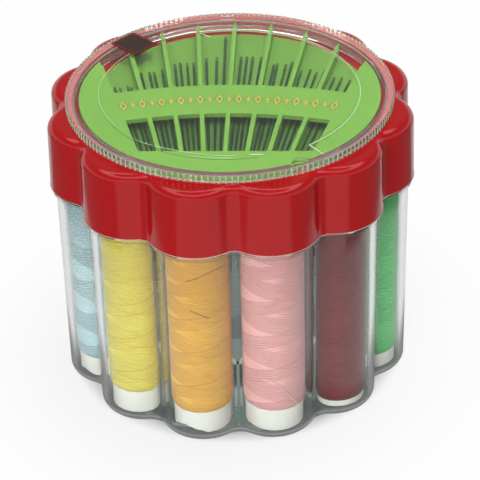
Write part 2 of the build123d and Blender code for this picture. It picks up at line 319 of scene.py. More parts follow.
# the eye: its length, how far the shaft runs into it, and shares of the radius
EYE_LENGTH = 2.2 * MM
EYE_ROOT = 0.5 * MM
EYE_ROOT_WIDTH = 0.5
EYE_POINTS = 20
EYE_SIDES = 6
EYE_END = 0.3
EYE_HALF_WIDTH = 0.72
EYE_WIRE = 0.34

# ---- camera, found from the lobed outlines in the photograph ---------------------------
CAMERA_AT = Vector((0.0286, -382.697, 280.450)) * MM
CAMERA_YAW = radians(0.1855)
CAMERA_PITCH = radians(33.610)
CAMERA_ROLL = radians(-1.5887)
CAMERA_LENS = 161.495
CAMERA_SENSOR = 36.0
CAMERA_NEAR = 0.01

# ---- lamps: place, size and power, all turned to one point of the box ------------------
LAMPS = {
    "key": ((0.12, 0.12, 0.80), 0.4, 3.0),
    "front": ((-0.25, -0.85, 0.50), 0.5, 5.0),
}
LAMP_AIM = Vector((0, 0, 0.03))

# ---- floor: how much of its white is its own, under, beside and clear of the box -------
UNDER_R = 32.0 * MM
BESIDE_R = 36.5 * MM
CLEAR_R = 64.0 * MM
BESIDE_SHARE = 0.82
CLEAR_SHARE = 0.975
FLOOR_GREYS = (0.76, 0.80)
FLOOR_GRAIN = 40.0
FLOOR_HALF = 3.0

# how bright the floor shows in shiny plastic: in front and behind or not, by the
# foot, and near enough for the jar to show it or so far off that the lid does
MIRROR_FRONT = radians(34.0)
MIRROR_FRONT_END = radians(39.0)
MIRROR_BRIGHT = 0.8
MIRROR_DULL = 0.25
MIRROR_BACK = radians(118.0)
MIRROR_FOOT_R = 40.0 * MM
MIRROR_FOOT_END_R = 48.0 * MM
MIRROR_FOOT = 0.35
MIRROR_JAR_R = 96.0 * MM
MIRROR_LID_R = 104.0 * MM

# ---- sky: its light on the box, ahead and from the sides -------------------------------
SKY_LEVEL = 0.55
SKY_SIDE_LEVEL = 0.04
SKY_SIDE_START = 0.15
SKY_SIDE_END = 0.6

# what shows in shiny plastic overhead: a dimmer sky and a bright belt
OVERHEAD_LEVEL = 0.25
OVERHEAD_START = 0.25
OVERHEAD_END = 0.45
SOFTBOX_LOW = 0.8
SOFTBOX_HIGH = 0.93
SOFTBOX_LEVEL = 2.2


# ---- helpers for materials -------------------------------------------------------------
def srgb(red, green, blue):
    """A colour written as on a screen, as the linear one that shaders take."""

    def linear(level):
        level /= 255.0
        if level <= 0.04045:
            return level / 12.92
        return ((level + 0.055) / 1.055) ** 2.4

    return (linear(red), linear(green), linear(blue), 1.0)


def material(name):
    """A new material, its empty node tree and the output node."""
    made = bpy.data.materials.new(name)
    made.use_nodes = True
    tree = made.node_tree
    tree.nodes.clear()
    return made, tree, tree.nodes.new("ShaderNodeOutputMaterial")


def add(tree, kind, inputs=(), **settings):
    """A node of this kind. A socket among its inputs is linked, a value is set."""
    made = tree.nodes.new(f"ShaderNode{kind}")
    for key, value in settings.items():
        setattr(made, key, value)
    for key, value in dict(inputs).items():
        if isinstance(value, bpy.types.NodeSocket):
            tree.links.new(value, made.inputs[key])
        else:
            made.inputs[key].default_value = value
    return made


def math(tree, operation, *values):
    return add(tree, "Math", enumerate(values), operation=operation).outputs[0]


def blend(tree, factor, first, second):
    """A colour between two, by a factor."""
    inputs = {"Factor": factor, 6: first, 7: second}
    return add(tree, "Mix", inputs, data_type="RGBA").outputs[2]


def between(tree, factor, first, second):
    """A value between two, by a factor."""
    return add(tree, "Mix", {"Factor": factor, 2: first, 3: second}).outputs[0]


def ramp(tree, value, start, end, low=0.0, high=1.0):
    """Goes from low to high while a value goes from start to end, and stays so."""
    inputs = {"Value": value, "From Min": start, "From Max": end, "To Min": low, "To Max": high}
    return add(tree, "MapRange", inputs).outputs[0]


def spread(tree, value, low, high):
    """A value from 0 to 1 spread over another range."""
    return ramp(tree, value, 0.0, 1.0, low, high)


def spot(tree):
    """The place that is shaded, in the object's own frame: as one, x, y and z."""
    where = add(tree, "TexCoord").outputs["Object"]
    return where, *add(tree, "SeparateXYZ", {0: where}).outputs


def length(tree, vector):
    return add(tree, "VectorMath", {0: vector}, operation="LENGTH").outputs["Value"]


def grain(tree, scale, detail=2.0, roughness=0.5):
    """Noise in the object's own frame; scale counts features to a metre."""
    where = add(tree, "TexCoord").outputs["Object"]
    inputs = {"Vector": where, "Scale": scale, "Detail": detail, "Roughness": roughness}
    return add(tree, "TexNoise", inputs).outputs["Fac"]


def bump(tree, height, distance, strength=1.0):
    inputs = {"Height": height, "Distance": distance, "Strength": strength}
    return add(tree, "Bump", inputs).outputs[0]


def in_sight(tree):
    """1 for what the camera sees, straight, mirrored or through clear plastic,
    and 0 for what only lights a dull surface."""
    path = add(tree, "LightPath")
    seen = math(tree, "MAXIMUM", path.outputs["Is Camera Ray"], path.outputs["Is Glossy Ray"])
    seen = math(tree, "MAXIMUM", seen, path.outputs["Is Transmission Ray"])
    unlit = math(tree, "LESS_THAN", path.outputs["Diffuse Depth"], 0.5)
    return math(tree, "MULTIPLY", seen, unlit), path.outputs["Is Glossy Ray"]


def uneven(tree, value, rough):
    """A roughness that varies about its middle with a value."""
    return spread(tree, value, rough * UNEVEN_LOW, rough * UNEVEN_HIGH)


def surface(tree, output, inputs):
    """Makes one shader with these inputs the whole of a material."""
    body = add(tree, "BsdfPrincipled", inputs)
    tree.links.new(body.outputs[0], output.inputs[0])


def moulded(tree, shade, other_shade, rough, shine, ripple):
    """Moulded plastic: a slow drift of shade, fine grain and a faint ripple."""
    drift = grain(tree, DRIFT_SCALE, 3.0)
    fine = grain(tree, FINE_SCALE, 4.0, 0.7)
    waves = grain(tree, WAVE_SCALE)
    return {
        "Base Color": blend(tree, drift, srgb(*shade), srgb(*other_shade)),
        "Roughness": spread(tree, fine, rough - ROUGH_BELOW, rough + ROUGH_ABOVE),
        "Specular IOR Level": shine,
        "Normal": bump(tree, waves, ripple),
    }


def plastic(name, *finish):
    """A plain plastic, of a finish in the table unless one is given."""
    made, tree, output = material(name)
    surface(tree, output, moulded(tree, *(finish or PLASTICS[name])))
    return made


def tray_plastic(name):
    """Satin plastic with painted shade: darker deep in the channels and more so in the windows
    in front of the bridge, where the bridge and needles shade it."""
    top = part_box("needle_tray")[1].z
    made, tree, output = material(name)
    inputs = moulded(tree, *PLASTICS[name])
    y, z = spot(tree)[2:]
    # painted shade: the colour darkens below the top, and more in front of the bridge
    deep = ramp(tree, z, top - SHADE_FROM, top - SHADE_TO)
    share = ramp(tree, y, WINDOW_SHADE_FROM_Y, WINDOW_SHADE_TO_Y, CHANNEL_SHADE_SHARE, WINDOW_SHADE_SHARE)
    unshaded = inputs["Base Color"]
    painted_shade = add(tree, "VectorMath", {0: unshaded, 3: share}, operation="SCALE").outputs[0]
    surface(tree, output, inputs | {"Base Color": blend(tree, deep, unshaded, painted_shade)})
    return made


def clear_plastic(name, middle, edge, thick_below=0.0, worn_beyond=1.0):
    """Clear plastic that lets the lamps through, grey-green where it is seen on
    edge and near the foot, where it is thick, and milky beyond a worn radius."""
    made, tree, output = material(name)
    facing = add(tree, "LayerWeight", {"Blend": EDGE_BLEND}).outputs["Facing"]
    facing = math(tree, "POWER", facing, EDGE_POWER)
    x, y, z = spot(tree)[1:]
    radius = length(tree, add(tree, "CombineXYZ", {0: x, 1: y}).outputs[0])
    worn = math(tree, "GREATER_THAN", radius, worn_beyond)
    foot = ramp(tree, z, thick_below + FOOT_FADE, thick_below)
    tint = ramp(tree, radius, FOOT_FLOOR_R, FOOT_RIM_R, FOOT_FLOOR_TINT, FOOT_RIM_TINT)
    facing = math(tree, "MAXIMUM", facing, math(tree, "MULTIPLY", foot, tint))
    body = add(tree, "BsdfPrincipled", {
        "Base Color": blend(tree, facing, srgb(*middle), srgb(*edge)),
        "Roughness": uneven(tree, grain(tree, SMEAR_SCALE, 3.0), CLEAR_ROUGH),
        "IOR": CLEAR_IOR,
        "Transmission Weight": spread(tree, worn, 1.0, WORN_CLEAR),
        "Normal": bump(tree, grain(tree, CLEAR_WAVE_SCALE), CLEAR_RIPPLE),
    }).outputs[0]
    lamps_through = add(tree, "BsdfTransparent", {"Color": LAMPS_THROUGH}).outputs[0]
    is_shadow = add(tree, "LightPath").outputs["Is Shadow Ray"]
    both = add(tree, "MixShader", {0: is_shadow, 1: body, 2: lamps_through}).outputs[0]
    tree.links.new(both, output.inputs[0])
    return made


def yarn_lines(tree, turn, height, lean):
    """The turns of yarn that lean one way, and the streaks along them."""
    across = math(tree, "SUBTRACT", height, math(tree, "MULTIPLY", turn, lean))
    turns = math(tree, "SINE", math(tree, "MULTIPLY", across, 2 * pi / YARN_PITCH))
    round_way = math(tree, "MULTIPLY", turn, STREAKS_ROUND)
    up_way = math(tree, "MULTIPLY", across, STREAKS_UP)
    where = add(tree, "CombineXYZ", {0: round_way, 1: up_way}).outputs[0]
    streaks = add(tree, "TexNoise", {"Vector": where, "Scale": 1.0, "Detail": 3.0})
    return turns, streaks.outputs["Fac"]


def painted_edge_shade(tree, turn, height, slope, offset, edge, depth):
    """Painted shade: how much darker the yarn is along one edge of a winding set's bands, at
    the step.
    """
    phase = math(tree, "DIVIDE", height, BAND_LEAD)
    phase = math(tree, "ADD", phase, math(tree, "MULTIPLY", turn, slope))
    phase = math(tree, "FRACT", math(tree, "ADD", phase, offset))
    apart = math(tree, "ABSOLUTE", math(tree, "SUBTRACT", phase, edge))
    return ramp(tree, apart, EDGE_SHADE_SHARE, EDGE_SHADE_END_SHARE, depth, 0.0)


def thread_material(name, shade, tall, start, top_shade):
    """Wound yarn: fine turns that lean one way on the rising bands and the other beside them,
    painted shade along each band's edge, streaks, patches, paler bands of painted sheen, and
    painted shade that darkens it towards the top, under the lid."""
    made, tree, output = material(name)
    uv = add(tree, "UVMap", uv_map="winding").outputs[0]
    turn, height = add(tree, "SeparateXYZ", {0: uv}).outputs[:2]
    band = add(tree, "Attribute", attribute_name="band").outputs["Fac"]
    rising = add(tree, "Attribute", attribute_name="under").outputs["Fac"]
    beside = spread(tree, rising, 1.0, 0.0)
    on_turns, on_streaks = yarn_lines(tree, turn, height, BAND_LEAD)
    other_turns, other_streaks = yarn_lines(tree, turn, height, -BAND_LEAD)
    turns = between(tree, beside, on_turns, other_turns)
    streaks = between(tree, beside, on_streaks, other_streaks)
    tone = spread(tree, streaks, *STREAK_TONE)
    patches = grain(tree, WAVE_SCALE, 3.0)
    for part, tones in ((turns, TURN_TONE), (band, BAND_SHEEN_TONE), (patches, PATCH_TONE)):
        tone = math(tree, "ADD", tone, spread(tree, part, *tones))
    # painted shade: the yarn darkens towards its top, under the lid
    painted_top_shade = ramp(tree, height, tall - TOP_SHADE_REACH, tall, 0.0, top_shade)
    tone = math(tree, "ADD", tone, painted_top_shade)
    # painted shade along the bands' edges
    for slope, offset, edge, depth in (
        (-1.0, -start * RISING_OFFSET, RISING_END[0], RISING_END_SHADE),
        (-1.0, -start * RISING_OFFSET, RISING_START[0], RISING_START_SHADE),
        (1.0, start, FALLING_END[0], FALLING_END_SHADE),
    ):
        line = painted_edge_shade(tree, turn, height, slope, offset, edge, depth)
        tone = math(tree, "ADD", tone, line)
    levels = srgb(*shade)[:3]
    pale = [min(1.0, level * PALE_GAIN + PALE_LIFT) for level in levels] + [1.0]
    deep = [level * DEEP_SHARE for level in levels] + [1.0]
    relief = math(tree, "ADD", turns, streaks)
    relief_depth = YARN_RELIEF + YARN_PALE_RELIEF * max(levels)
    surface(tree, output, {
        "Base Color": blend(tree, tone, deep, pale),
        "Roughness": YARN_ROUGH,
        "Specular IOR Level": YARN_SHINE,
        "Sheen Weight": YARN_SHEEN,
        "Sheen Roughness": YARN_SHEEN_ROUGH,
        "Normal": bump(tree, relief, relief_depth, YARN_BUMP),
    })
    return made


def metal(name):
    """Worn metal, of a finish in the table: patches that also change its gloss."""
    shade, other_shade, rough, scale, metallic = METALS[name]
    made, tree, output = material(name)
    patches = grain(tree, scale, 3.0, 0.6)
    surface(tree, output, {
        "Base Color": blend(tree, patches, srgb(*shade), srgb(*other_shade)),
        "Metallic": metallic,
        "Roughness": uneven(tree, patches, rough),
        "Normal": bump(tree, patches, FINE_RELIEF),
    })
    return made


def sticker_material():
    """A dark printed seal: a red border round a faint lattice of diamonds."""
    low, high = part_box("seal_sticker")
    middle = (low + high) / 2
    angle = atan2(middle.x, -middle.y)
    made, tree, output = material("sticker")
    offset = {0: spot(tree)[0], 1: middle}
    centred = add(tree, "VectorMath", offset, operation="SUBTRACT").outputs[0]
    turn_back = {"Vector": centred, "Angle": -angle}
    turned = add(tree, "VectorRotate", turn_back, rotation_type="Z_AXIS").outputs[0]
    x, y = add(tree, "SeparateXYZ", {0: turned}).outputs[:2]
    from_side = math(tree, "SUBTRACT", SEAL_HALF_WIDTH, math(tree, "ABSOLUTE", x))
    from_end = math(tree, "SUBTRACT", SEAL_HALF_DEPTH, math(tree, "ABSOLUTE", y))
    nearest = math(tree, "MINIMUM", from_side, from_end)
    in_border = math(tree, "LESS_THAN", nearest, SEAL_BORDER)
    step = 2 * pi / LATTICE_PITCH
    rising = math(tree, "SINE", math(tree, "MULTIPLY", math(tree, "ADD", x, y), step))
    falling = math(tree, "SINE", math(tree, "MULTIPLY", math(tree, "SUBTRACT", x, y), step))
    lattice = math(tree, "GREATER_THAN", math(tree, "MULTIPLY", rising, falling), LATTICE_CUT)
    lattice = math(tree, "MULTIPLY", lattice, LATTICE_SHARE)
    mottle = grain(tree, SEAL_SCALE, 3.0)
    ground = blend(tree, mottle, *(srgb(*shade) for shade in SEAL_GROUND_SHADES))
    inside = blend(tree, lattice, ground, srgb(*SEAL_LATTICE_SHADE))
    surface(tree, output, {
        "Base Color": blend(tree, in_border, inside, srgb(*SEAL_BORDER_SHADE)),
        "Roughness": spread(tree, mottle, *SEAL_ROUGH),
        "Specular IOR Level": SEAL_SHINE,
        "Normal": bump(tree, mottle, FINE_RELIEF),
    })
    return made


# ---- helpers for pieces ----------------------------------------------------------------
def piece(name, mesh, skin, body, slot, *stands_for):
    """A finished mesh as a piece on a body, with its finish and what it replaces."""
    made = bpy.data.objects.new(name, mesh)
    bpy.context.scene.collection.objects.link(made)
    mesh.materials.append(skin)
    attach(made, body)
    if stands_for:
        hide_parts(*stands_for)
    return made


def dress(node, skin):
    """A CAD node keeps its shape and gets this material."""
    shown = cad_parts[node]
    shown.data.materials.clear()
    shown.data.materials.append(skin)


def mesh_from(name, verts, faces, smooth=True):
    """A mesh of these points and faces, shaded smooth or flat."""
    made = bpy.data.meshes.new(name)
    made.from_pydata(verts, [], faces)
    made.validate()
    for face in made.polygons:
        face.use_smooth = smooth
    return made


def round_at(radius, angle, height):
    """A point about the upright axis, its angle counted from the front towards +X."""
    return Vector((radius * sin(angle), -radius * cos(angle), height))


def tube(verts, faces, route, radius, sides, closed=False):
    """Adds a round tube along a route of points to the lists of a mesh."""
    first = len(verts)
    count = len(route)
    side_way = None
    for index, point in enumerate(route):
        after = route[(index + 1) % count] if closed else route[min(index + 1, count - 1)]
        before = route[index - 1] if closed or index else route[0]
        ahead = (after - before).normalized()
        if side_way is None:
            side_way = ahead.orthogonal().normalized()
        side_way = (side_way - ahead * side_way.dot(ahead)).normalized()
        up_way = ahead.cross(side_way)
        for side in range(sides):
            angle = 2 * pi * side / sides
            verts.append(point + (side_way * cos(angle) + up_way * sin(angle)) * radius)
    for index in range(count if closed else count - 1):
        here = first + index * sides
        there = first + (index + 1) % count * sides
        for side in range(sides):
            other = (side + 1) % sides
            faces.append((here + side, here + other, there + other, there + side))
    if not closed:
        faces.append(tuple(range(first + sides - 1, first - 1, -1)))
        faces.append(tuple(first + (count - 1) * sides + side for side in range(sides)))


# ---- thread packages -------------------------------------------------------------------
def wrapped(value):
    """A share of a turn or of a lead, brought back to between 0 and 1."""
    return value - floor(value)


def soft_step(value, middle, width):
    """0 below a middle and 1 above it, with a smooth change over a width."""
    t = min(max((value - middle) / width + 0.5, 0.0), 1.0)
    return t * t * (3 - 2 * t)


def band_at(turn, height, start, front):
    """How much of each winding set lies on top at a point, and how much painted sheen it has:
    the sets cross in long wedges, with paler painted sheen on one side of the front."""
    falling = wrapped(height / BAND_LEAD + turn + start)
    rising = wrapped(height / BAND_LEAD - turn - start * RISING_OFFSET)
    over = soft_step(falling, *FALLING_START) * (1 - soft_step(falling, *FALLING_END))
    under = soft_step(rising, *RISING_START) * (1 - soft_step(rising, *RISING_END))

    # the sets cross twice in a turn, and painted sheen pales the crossing nearest the front
    tip = FALLING_START[0] - start * (1 + RISING_OFFSET) / 2
    tip += 0.5 * round((front - SHEEN_WEDGE_FRONT - tip) / 0.5)
    before, before_width = SHEEN_WEDGE_START
    beyond, beyond_width = SHEEN_WEDGE_END
    worn = soft_step(turn, tip - before, before_width)
    worn *= 1 - soft_step(turn, tip + beyond, beyond_width)
    return over, under, worn


def wound_faces():
    """The faces of a package, ring after ring and back to the first, and the turn
    at each of their corners."""
    rings = THREAD_ROWS + 3
    faces, corner_turns = [], []
    for ring in range(rings):
        here, there = ring * THREAD_COLUMNS, (ring + 1) % rings * THREAD_COLUMNS
        for column in range(THREAD_COLUMNS):
            other = (column + 1) % THREAD_COLUMNS
            faces.append((here + column, here + other, there + other, there + column))
            for side in (column, column + 1, column + 1, column):
                corner_turns.append(side / THREAD_COLUMNS)
    return faces, corner_turns


def thread_mesh(colour, start, seed):
    """Wound yarn round a core: rings up the outside, then the bore's upper and
    lower ring. Each point says how far it is on a band of either set."""
    low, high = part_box(f"thread_{colour}")
    core_low, core_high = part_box(f"core_{colour}")
    axis = (low + high) / 2
    outer = (high.x - low.x) / 2
    inner = (core_high.x - core_low.x) / 2 + CORE_CLEAR
    tall = high.z - low.z
    inward = atan2(-axis.y, -axis.x)
    front = wrapped(-0.25 - inward / (2 * pi))
    ways = []
    for column in range(THREAD_COLUMNS):
        angle = inward + 2 * pi * column / THREAD_COLUMNS
        ways.append(Vector((cos(angle), sin(angle), 0)))
    verts, bands, unders = [], [], []
    for row in range(THREAD_ROWS + 1):
        up = tall * row / THREAD_ROWS
        shoulder = max(0.0, 1 - min(up, tall - up) / SHOULDER)
        for column, way in enumerate(ways):
            over, under, worn = band_at(column / THREAD_COLUMNS, up, start, front)
            where = way + Vector((0, 0, up * SWELL_UP))
            swell = noise.noise(where * SWELL_GRAIN + Vector((seed, 0, 0))) * SWELL
            radius = outer - THREAD_SINK + swell - SHOULDER_DROP * shoulder**2
            radius += BAND_LIFT * max(over * FALLING_LIFT, under)
            radius = min(radius, outer)
            verts.append(Vector((axis.x, axis.y, low.z + up)) + way * radius)
            # painted sheen: the band's paleness, strongest in the wedge by the front crossing
            bands.append(over * (1 - under) * (OFF_WEDGE_SHARE + (1 - OFF_WEDGE_SHARE) * worn))
            unders.append(under)
    for end_z in (high.z, low.z):
        verts += [Vector((axis.x, axis.y, end_z)) + way * inner for way in ways]
    bands += [BORE_BAND] * (2 * THREAD_COLUMNS)
    unders += [0.0] * (2 * THREAD_COLUMNS)
    faces, corner_turns = wound_faces()
    mesh = mesh_from(f"wound_{colour}", verts, faces)
    for mark, values in (("band", bands), ("under", unders)):
        mesh.attributes.new(mark, "FLOAT", "POINT").data.foreach_set("value", values)
    winding = mesh.uv_layers.new(name="winding")
    for loop, turn in zip(mesh.loops, corner_turns):
        winding.data[loop.index].uv = (turn, verts[loop.vertex_index].z - low.z)
    return mesh


def make_threads():
    """Every package as wound yarn, in place of its plain solid."""
    for seed, (colour, (shade, start, top_shade)) in enumerate(THREADS.items()):
        node = f"thread_{colour}"
        low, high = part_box(node)
        skin = thread_material(f"yarn_{colour}", shade, high.z - low.z, start, top_shade)
        mesh = thread_mesh(colour, start, seed * SEED_STEP)
        piece(f"wound_{node}", mesh, skin, f"spool_{colour}", node, node)


def make_strands():
    """The loose strands, each a thin tube laid on its package."""
    for name, (colour, shade, radius, points) in STRANDS.items():
        low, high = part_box(f"thread_{colour}")
        axis = (low + high) / 2
        outer = (high.x - low.x) / 2 + STRAND_PROUD
        route = []
        for bearing, height in points:
            around = round_at(outer, radians(bearing), height * MM)
            route.append(around + Vector((axis.x, axis.y, 0)))
        verts, faces = [], []
        tube(verts, faces, route, radius * MM, STRAND_SIDES)
        darker = [level * STRAND_DARKER for level in shade]
        skin = plastic(name, shade, darker, *STRAND_FINISH)
        piece(name, mesh_from(name, verts, faces), skin, f"spool_{colour}", f"thread_{colour}")


# ---- needles ---------------------------------------------------------------------------
def islands(mesh):
    """The separate shells of a mesh, each as a list of points."""
    shells = []
    shape = bmesh.new()
    shape.from_mesh(mesh)
    bmesh.ops.remove_doubles(shape, verts=shape.verts, dist=SAME_POINT)
    left = set(shape.verts)
    while left:
        wait = [left.pop()]
        shell = []
        while wait:
            vert = wait.pop()
            shell.append(vert.co.copy())
            for edge in vert.link_edges:
                other = edge.other_vert(vert)
                if other in left:
                    left.discard(other)
                    wait.append(other)
        shells.append(shell)
    shape.free()
    return sorted(shells, key=lambda points: sum(p.x for p in points) / len(points))


def needle_line(points):
    """A needle's point, eye end and radius, from its solid."""
    middle_y = sum(p.y for p in points) / len(points)
    near = [p for p in points if p.y < middle_y]
    far = [p for p in points if p.y >= middle_y]
    start = sum(near, Vector()) / len(near)
    way = (sum(far, Vector()) / len(far) - start).normalized()
    along = [(p - start).dot(way) for p in points]
    off = [((p - start) - way * (p - start).dot(way)).length for p in points]
    return start + way * min(along), start + way * max(along), max(off)


def add_needle(verts, faces, tip, end, radius):
    """A round shaft that narrows to its point, with a long eye at the other end."""
    way = (end - tip).normalized()
    side_way = way.cross(Vector((0, 0, 1))).normalized()
    shaft_end = (end - tip).length - EYE_LENGTH
    taper = NEEDLE_TAPER + ((shaft_end, 1.0), (shaft_end + EYE_ROOT, EYE_ROOT_WIDTH))
    first = len(verts)
    for stop, width in taper:
        for side in range(NEEDLE_SIDES):
            angle = 2 * pi * side / NEEDLE_SIDES
            off = side_way * cos(angle) + Vector((0, 0, 1)) * sin(angle)
            verts.append(tip + way * stop + off * radius * width)
    for ring in range(len(taper) - 1):
        here = first + ring * NEEDLE_SIDES
        there = here + NEEDLE_SIDES
        for side in range(NEEDLE_SIDES):
            other = (side + 1) % NEEDLE_SIDES
            faces.append((here + side, here + other, there + other, there + side))
    faces.append(tuple(range(first + NEEDLE_SIDES - 1, first - 1, -1)))
    last = first + (len(taper) - 1) * NEEDLE_SIDES
    faces.append(tuple(last + side for side in range(NEEDLE_SIDES)))
    middle = tip + way * (shaft_end + EYE_LENGTH / 2)
    loop = []
    for index in range(EYE_POINTS):
        angle = 2 * pi * index / EYE_POINTS
        reach = way * cos(angle) * (EYE_LENGTH / 2 - radius * EYE_END)
        loop.append(middle + reach + side_way * sin(angle) * radius * EYE_HALF_WIDTH)
    tube(verts, faces, loop, radius * EYE_WIRE, EYE_SIDES, closed=True)


def make_needles(steel):
    """Slimmer needles with eyes in place of the plain ones, a little out of line."""
    for number in range(1, CHANNELS + 1):
        node = f"needles_channel_{number}"
        verts, faces = [], []
        for order, points in enumerate(islands(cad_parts[node].data)):
            tip, end, radius = needle_line(points)
            # steady, uneven amounts by which each needle is out of line
            stir = noise.noise(Vector((number * 3.1, order * 5.7, 0.5)))
            sway = noise.noise(Vector((number * 2.3, 0.5, order * 4.1)))
            slip = Vector((0, 1, 0)) * stir * NEEDLE_SLIP
            drift = Vector((1, 0, 0)) * sway * NEEDLE_DRIFT
            point = tip + slip * POINT_SLIP_SHARE
            add_needle(verts, faces, point, end + slip + drift, radius * NEEDLE_SLIM)
        mesh = mesh_from(node, verts, faces)
        piece(f"steel_{node}", mesh, steel, "lid", "needle_steel", node)


# ---- stamped ornament ------------------------------------------------------------------
def motif_loops(kind, margin):
    """The outer and inner outline of a diamond, or the one outline of a solid
    star. A margin makes it bolder all round."""
    half_w, half_h = MOTIF_WIDTH / 2 + margin, MOTIF_HEIGHT / 2 + margin
    if kind == "diamond":
        inner = 1 - (MOTIF_STROKE + margin) / MOTIF_WIDTH * DIAMOND_SLANT
        outer = [(0, half_h), (half_w, 0), (0, -half_h), (-half_w, 0)]
        return [outer, [(x * inner, y * inner) for x, y in outer]]
    waist = MOTIF_STROKE * STAR_WAIST + margin * STAR_WAIST_MARGIN
    tall, wide = half_h * STAR_HEIGHT, half_w * STAR_WIDTH
    return [[
        (0, tall), (waist, waist), (wide, 0), (waist, -waist),
        (0, -tall), (-waist, -waist), (-wide, 0), (-waist, waist),
    ]]


def add_motif(verts, faces, loops, centre, turn, thick):
    """A motif as a plate: open in the middle where it has an inner outline."""
    rings = []
    for loop in loops:
        for rise in (0, thick):
            rings.append(len(verts))
            verts += [centre + turn @ Vector((x, y, rise)) for x, y in loop]
    size = len(loops[0])
    low_ring, top_ring, *hole = rings
    for i in range(size):
        j = (i + 1) % size
        faces.append((low_ring + i, low_ring + j, top_ring + j, top_ring + i))
        if hole:
            low_hole, top_hole = hole
            faces.append((low_hole + j, low_hole + i, top_hole + i, top_hole + j))
            faces.append((top_ring + i, top_ring + j, top_hole + j, top_hole + i))
            faces.append((low_ring + j, low_ring + i, low_hole + i, low_hole + j))
    if not hole:
        faces.append(tuple(top_ring + i for i in range(size)))
        faces.append(tuple(low_ring + i for i in reversed(range(size))))


def ornament_mesh(name, margin, thick):
    """The row of diamonds and stars along the middle of the bridge."""
    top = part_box("needle_tray")[1].z
    verts, faces = [], []
    for index in range(MOTIFS):
        lean = (index - (MOTIFS - 1) / 2) * MOTIF_STEP
        centre = Vector((sin(lean), cos(lean), 0)) * BRIDGE_MIDDLE_R
        centre += Vector((0, FAN_CENTRE_Y, top))
        loops = motif_loops("star" if index % 2 else "diamond", margin)
        add_motif(verts, faces, loops, centre, Matrix.Rotation(-lean, 3, "Z"), thick)
    mesh = mesh_from(name, verts, faces, smooth=False)
    mesh.transform(Matrix.Rotation(TRAY_TURN, 4, "Z"))
    shape = bmesh.new()
    shape.from_mesh(mesh)
    bmesh.ops.recalc_face_normals(shape, faces=shape.faces)
    shape.to_mesh(mesh)
    shape.free()
    return mesh


def make_ornament(gold, stamp_shade_skin):
    """Gold foil, and a darker outline just beyond its edges, painted shade round the stamped
    motifs.
    """
    foil = ornament_mesh("foil", 0.0, FOIL_THICK)
    piece("gold_ornament", foil, gold, "lid", "green_plastic")
    mark = ornament_mesh("stamp_shade", STAMP_SHADE_MARGIN, STAMP_SHADE_THICK)
    piece("ornament_stamp_shade", mark, stamp_shade_skin, "lid", "green_plastic")


# ---- painted highlights and pale paint on the edges of the clear dial ------------------
def make_knurl_crests(milky):
    """A pale cap on the crest of every tooth round the dial's rim, a painted highlight where
    the knurls catch light.
    """
    low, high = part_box("dial_cover")
    crest_r = (high.x - low.x) / 2
    verts, faces = [], []
    for tooth in range(KNURLS):
        middle = 2 * pi * tooth / KNURLS
        first = len(verts)
        for height in (high.z - CREST_LOW, high.z - CREST_HIGH):
            for side in (-1, 0, 1):
                angle = middle + side * CREST_HALF / crest_r
                out_r = crest_r + (CREST_PROUD if side == 0 else -CREST_SLOPE)
                verts.append(round_at(out_r, angle, height))
            verts.append(round_at(crest_r - CREST_SLOPE - CREST_SINK, middle, height))
        for low_corner in range(4):
            here, there = first + low_corner, first + (low_corner + 1) % 4
            faces.append((here, there, there + 4, here + 4))
        faces.append((first + 3, first + 2, first + 1, first))
        faces.append((first + 4, first + 5, first + 6, first + 7))
    mesh = mesh_from("knurl_crests", verts, faces, smooth=False)
    piece("knurl_crest_highlights", mesh, milky, "dial", "clear_dial")


def step_route(height):
    """The step's edge, eased from one of its known points to the next."""
    route = []
    for (radius, angle), (next_radius, next_angle) in zip(STEP_EDGE, STEP_EDGE[1:]):
        for stop in range(STEP_POINTS):
            way = stop / STEP_POINTS
            ease = way * way * (3 - 2 * way)
            at = angle + (next_angle - angle) * way
            route.append(round_at(radius + (next_radius - radius) * ease, at, height))
    return route


def make_rib_lines(milky):
    """Painted highlights on the bright edge of the plate's guide rib, one end hooked outwards
    and the other inwards, and on the fainter edge of the step that goes on round; and a scuff."""
    verts, faces = [], []
    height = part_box("dial_cover")[1].z - RIB_EDGE_DROP
    rib = [round_at(SKIRT_R, RIB_START, height), round_at(RIB_START_R, RIB_START, height)]
    for stop in range(RIB_POINTS + 1):
        angle = RIB_START + (RIB_END - RIB_START) * stop / RIB_POINTS
        rib.append(round_at(RIB_R, angle, height))
    rib.append(round_at(HOOK_R, RIB_END - HOOK_TURN, height))
    tube(verts, faces, rib, RIB_LINE_R, LINE_SIDES)
    tube(verts, faces, step_route(height), STEP_LINE_R, STEP_LINE_SIDES)
    smudge = [round_at(*end, height) for end in SMUDGE_ENDS]
    tube(verts, faces, smudge, SMUDGE_LINE_R, LINE_SIDES)
    mesh = mesh_from("rib_lines", verts, faces)
    piece("guide_rib_edge", mesh, milky, "dial", "clear_dial")


